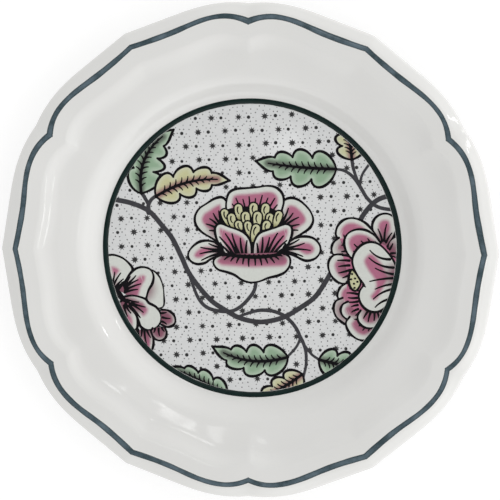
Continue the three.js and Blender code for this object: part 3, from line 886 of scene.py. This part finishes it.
def store_wash(mesh, corners, owners):
    """Writes the wash and shade of every top corner; the hidden faces below stay at zero."""
    wash, shade = np.zeros(len(mesh.loops)), np.zeros(len(mesh.loops))
    for owner in np.unique(owners):
        mine = np.flatnonzero(owners == owner)
        where = (mine[:, None] * 3 + np.arange(3)).ravel()
        wash[where], shade[where] = wash_and_shade(shapes[owner], corners[mine].reshape(-1, 2))
    for name, values in (("wash", wash), ("shade", shade)):
        layer = mesh.attributes.new(name, "FLOAT", "CORNER")
        layer.data.foreach_set("value", values)


def make_motifs(looks):
    flat, triangles, top = arrangement()
    names = list(dict.fromkeys(shape["piece"] for shape in shapes))
    piece_of = np.array([names.index(shape["piece"]) for shape in shapes] + [-1])
    owner_piece = piece_of[top]
    for number, name in enumerate(names):
        mine = np.flatnonzero(owner_piece == number)
        piece = make_patch(name, flat, triangles[mine], top[mine], looks)
        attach(piece, "root")
        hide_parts(name)


# ---------- ground, border, stars and dots ----------
STAR_PITCH = 14.7
ROW_PITCH = 7.63
ROW_SLANT = 0.75
STAR_ORIGIN = (-7.5, 72.3)
DOT_OFFSET = (5.6, 0.2)
SPECK_RINGS = [(2.5, 6, 0), (4.6, 7, 0.5)]  # radius round the dot, how many, first turn
SHAKE_SEED = 7
STAR_HEIGHT = 0.03
SPECK_HEIGHT = 0.02
MARK_DEPTH = 0.02


def star_places():
    """Places of the stars: slanting rows, every second one moved on by half a pitch."""
    for row in range(-2, 24):
        for column in range(-8, 9):
            along = column + (row % 2) / 2
            x = STAR_ORIGIN[0] + STAR_PITCH * along + 0.16 * row
            y = STAR_ORIGIN[1] + ROW_SLANT * along - ROW_PITCH * row
            yield x, y


def star_outline(x, y, turn, outer, inner, spikes=8):
    angles = turn + np.arange(2 * spikes) * math.pi / spikes
    radii = np.where(np.arange(2 * spikes) % 2, inner, outer)
    return np.column_stack([x + radii * np.cos(angles), y + radii * np.sin(angles)])


def dot_outline(x, y, radius, sides=10):
    angles = np.arange(sides) * 2 * math.pi / sides
    return np.column_stack([x + radius * np.cos(angles), y + radius * np.sin(angles)])


def make_flat_marks(name, outlines, look, height):
    """Many small printed marks as one piece of thin solids."""
    points, faces = [], []
    for outline in outlines:
        count, first = len(outline), len(points)
        points.extend((x, y, GROUND_TOP + height) for x, y in outline)
        points.extend((x, y, GROUND_TOP - MARK_DEPTH) for x, y in outline)
        faces.append(tuple(range(first, first + count)))
        for i in range(count):
            j = (i + 1) % count
            faces.append((first + i, first + count + i, first + count + j, first + j))
    marks = new_mesh(name, points, faces)
    marks.data.materials.append(look)
    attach(marks, "root")


def make_stars(looks):
    rng = random.Random(SHAKE_SEED)
    stars, specks = [], []
    for x, y in star_places():
        x, y = x + rng.uniform(-0.25, 0.25), y + rng.uniform(-0.25, 0.25)
        spot = np.array((x, y)) + DOT_OFFSET + [rng.uniform(-0.3, 0.3) for _ in range(2)]
        turn, outer, inner = rng.uniform(0, 1), rng.uniform(2.05, 2.4), rng.uniform(0.9, 1.1)
        stars.append(star_outline(x, y, turn, outer, inner))
        stars.append(dot_outline(*spot, rng.uniform(0.85, 1.05)))
        for ring, count, start in SPECK_RINGS:
            for i in range(count):
                turn = 2 * math.pi * i / count + start + rng.uniform(-0.12, 0.12)
                place = (spot[0] + ring * math.cos(turn), spot[1] + ring * math.sin(turn))
                specks.append(dot_outline(*place, rng.uniform(0.26, 0.4), 6))
    kept = [mark for mark in stars if np.linalg.norm(mark, axis=1).max() < GROUND_RADIUS]
    small = [mark for mark in specks if np.linalg.norm(mark, axis=1).max() < GROUND_RADIUS]
    make_flat_marks("print_stars", kept, looks["star"], STAR_HEIGHT)
    make_flat_marks("print_specks", small, looks["speck"], SPECK_HEIGHT)


EDGE_BEVEL = 0.1


def flat_turned(name, section, segments=720, wobble=0):
    """A section turned about the axis, without the brace outline; wobble roughens its inner edge."""
    section = np.asarray(section, float)
    points, faces, count = [], [], len(section)
    for i in range(segments):
        theta = 2 * math.pi * i / segments
        rough = math.sin(9 * theta + 1) + 0.6 * math.sin(31 * theta) + 0.5 * math.sin(83 * theta + 2)
        for j, (radius, height) in enumerate(section):
            r = radius + (wobble * rough if j in (0, count - 1) else 0)
            points.append((r * math.cos(theta), r * math.sin(theta), height))
    for i in range(segments):
        for j in range(count):
            here, there, k = i * count, ((i + 1) % segments) * count, (j + 1) % count
            faces.append((here + j, there + j, there + k, here + k))
    piece = new_mesh(name, points, faces)
    piece.data.shade_smooth()
    return piece


def make_ground_and_border(looks):
    edge, bevel = GROUND_RADIUS, GROUND_RADIUS - EDGE_BEVEL
    section = [
        (0, WELL_FLOOR), (bevel, WELL_FLOOR), (edge, WELL_FLOOR + 0.03),
        (edge, GROUND_TOP - 0.02), (bevel, GROUND_TOP), (0, GROUND_TOP),
    ]
    settle(turned("print_ground", section, 360), "ground", looks["ground"], "print_ground")
    inner, bevel = BORDER_INNER - 0.1, BORDER_OUTER - EDGE_BEVEL
    section = [
        (inner, WELL_FLOOR), (BORDER_OUTER, WELL_FLOOR), (BORDER_OUTER, WELL_FLOOR + 0.08),
        (bevel, GROUND_TOP), (inner, GROUND_TOP),
    ]
    ring = flat_turned("print_border", section, wobble=0.06)
    settle(ring, "border_green", looks["border"], "print_border")


def print_looks():
    return {
        "petal": washed("wash_pink", (0.69, 0.71, 0.665), (0.45, 0.14, 0.235), (0.22, 0.075, 0.115)),
        "stamen": washed("wash_stamen", (0.62, 0.62, 0.4), (0.58, 0.58, 0.35), (0.33, 0.32, 0.15)),
        "green": washed("wash_green", (0.45, 0.57, 0.44), (0.28, 0.42, 0.28), (0.1, 0.125, 0.095)),
        "yellow": washed("wash_yellow", (0.64, 0.65, 0.46), (0.6, 0.59, 0.33), (0.32, 0.17, 0.16)),
        "ink": enamel("ink", (0.001, 0.001, 0.002), (0.004, 0.003, 0.005), sheen=0.12),
        "stem": enamel("stem_ink", (0.022, 0.022, 0.027), (0.04, 0.04, 0.047), 260, sheen=0.4),
        "star": enamel("star_ink", (0.015, 0.015, 0.016), (0.03, 0.03, 0.031), sheen=0.4),
        "speck": enamel("speck_ink", (0.07, 0.07, 0.072), (0.13, 0.13, 0.133)),
        "ground": enamel("print_ground", (0.7, 0.71, 0.71), (0.74, 0.745, 0.745), 300),
        "border": enamel("border_green", (0.001, 0.01, 0.009), (0.005, 0.019, 0.017), 120, sheen=0.12),
    }


def make_print():
    looks = print_looks()
    draw_vines()
    draw_leaves()
    draw_centre_peony()
    draw_left_peony()
    draw_right_peony()
    make_ground_and_border(looks)
    make_stars(looks)
    make_motifs(looks)


make_print()

# ---------- floor, light and camera ----------
CAMERA_DISTANCE = 2.5
CAMERA_TILT = math.radians(9.4)
CAMERA_SIDE = math.radians(46.5)
CAMERA_LENS = 328.2
SENSOR = 36
AIM = Vector((-1, -0.9, WELL_FLOOR)) * MM
LIGHT_DISTANCE = 1.6
FLOOR_SIZE = 3
FLOOR_DROP = 0.0002  # keeps the floor clear of the foot ring
FLOOR_GREY, FLOOR_GLOW = 0.6, 0.54
OVERHEAD_LIGHT = 0.53
LOW_LIGHT, LOW_FALLOFF = 0.89, 1.5
WINDOW_EXTRA, WINDOW_SIDE = 0.5, -5
FADE_SLOPE, FADE_START, LOWEST_SHARE = 2, 1.2, 0.65  # how the light dims below the horizon


def towards(azimuth, elevation):
    a, e = math.radians(azimuth), math.radians(elevation)
    return Vector((math.cos(e) * math.cos(a), math.cos(e) * math.sin(a), math.sin(e)))


def add_camera():
    data = bpy.data.cameras.new("camera")
    data.sensor_width = SENSOR
    data.lens = CAMERA_LENS
    data.clip_start = 0.01
    camera = placed("camera", data)
    away = towards(math.degrees(CAMERA_SIDE), 90 - math.degrees(CAMERA_TILT))
    camera.location = AIM + away * CAMERA_DISTANCE
    right = Vector((0, 1, 0)).cross(away).normalized()
    up = away.cross(right)
    camera.rotation_euler = Matrix((right, up, away)).transposed().to_euler()
    bpy.context.scene.camera = camera


def add_light(name, azimuth, elevation, width, height, watts):
    data = bpy.data.lights.new(name, "AREA")
    data.shape = "RECTANGLE"
    data.size = width
    data.size_y = height
    data.energy = watts
    light = placed(name, data)
    away = towards(azimuth, elevation)
    light.location = away * LIGHT_DISTANCE
    light.rotation_euler = away.to_track_quat("Z", "Y").to_euler()


def add_floor():
    """A plain pale floor that can be seen from above only, so that views from below show the plate."""
    size, low = FLOOR_SIZE, -FLOOR_DROP
    corners = [(-size, -size, low), (size, -size, low), (size, size, low), (-size, size, low)]
    mesh = bpy.data.meshes.new("floor")
    mesh.from_pydata(corners, [], [(0, 1, 2, 3)])
    floor = placed("floor", mesh)
    material, tree, shader = node_material("floor")
    set_inputs(shader, {"Base Color": (FLOOR_GREY, FLOOR_GREY, FLOOR_GREY, 1), "Roughness": 0.9})
    set_inputs(shader, {"Emission Color": (1, 1, 1, 1), "Emission Strength": FLOOR_GLOW})
    side = tree.nodes.new("ShaderNodeNewGeometry")
    clear = tree.nodes.new("ShaderNodeBsdfTransparent")
    mix = tree.nodes.new("ShaderNodeMixShader")
    tree.links.new(side.outputs["Backfacing"], mix.inputs["Fac"])
    tree.links.new(shader.outputs["BSDF"], mix.inputs[1])
    tree.links.new(clear.outputs["BSDF"], mix.inputs[2])
    tree.links.new(mix.outputs["Shader"], tree.nodes["Material Output"].inputs["Surface"])
    mesh.materials.append(material)
    floor.visible_diffuse = False


def calculated(tree, operation, first, second):
    """A math node on two values, each a number or another node's result."""
    node = tree.nodes.new("ShaderNodeMath")
    node.operation = operation
    for socket, value in zip(node.inputs, (first, second)):
        feed(tree, socket, value)
    return node.outputs[0]


def share_towards(tree, direction):
    """How much of the looked-along direction points along a given one, from -1 to 1."""
    looked = tree.nodes.new("ShaderNodeTexCoord").outputs["Generated"]
    node = tree.nodes.new("ShaderNodeVectorMath")
    node.operation = "DOT_PRODUCT"
    tree.links.new(looked, node.inputs[0])
    node.inputs[1].default_value = direction
    return node.outputs["Value"]


def add_world():
    """Soft light: brightest low down and towards the windows, dimmer overhead and underneath."""
    world = bpy.data.worlds.new("studio")
    world.use_nodes = True
    bpy.context.scene.world = world
    tree = world.node_tree
    back = tree.nodes["Background"]
    back.inputs["Color"].default_value = (1, 1, 1, 1)
    up = share_towards(tree, (0, 0, 1))
    level = calculated(tree, "SUBTRACT", 1, calculated(tree, "MULTIPLY", up, up))
    low = calculated(tree, "POWER", level, LOW_FALLOFF)
    side = calculated(tree, "MULTIPLY", share_towards(tree, towards(WINDOW_SIDE, 0)), WINDOW_EXTRA)
    ring = calculated(tree, "MULTIPLY", low, calculated(tree, "ADD", side, LOW_LIGHT))
    all_round = calculated(tree, "ADD", ring, OVERHEAD_LIGHT)
    fading = calculated(tree, "ADD", calculated(tree, "MULTIPLY", up, FADE_SLOPE), FADE_START)
    shade = calculated(tree, "MAXIMUM", calculated(tree, "MINIMUM", fading, 1), LOWEST_SHARE)
    tree.links.new(calculated(tree, "MULTIPLY", all_round, shade), back.inputs["Strength"])


add_camera()
add_floor()
add_world()
add_light("window", 27, 30, 0.1, 0.1, 0.45)
add_light("far_window", -20, 48, 0.2, 0.06, 0.15)
add_light("lamp", 77, 79, 0.1, 0.1, 0.09)
add_light("ceiling_lamp", 120, 85, 0.1, 0.1, 0.05)
bpy.context.scene.view_settings.view_transform = "Standard"
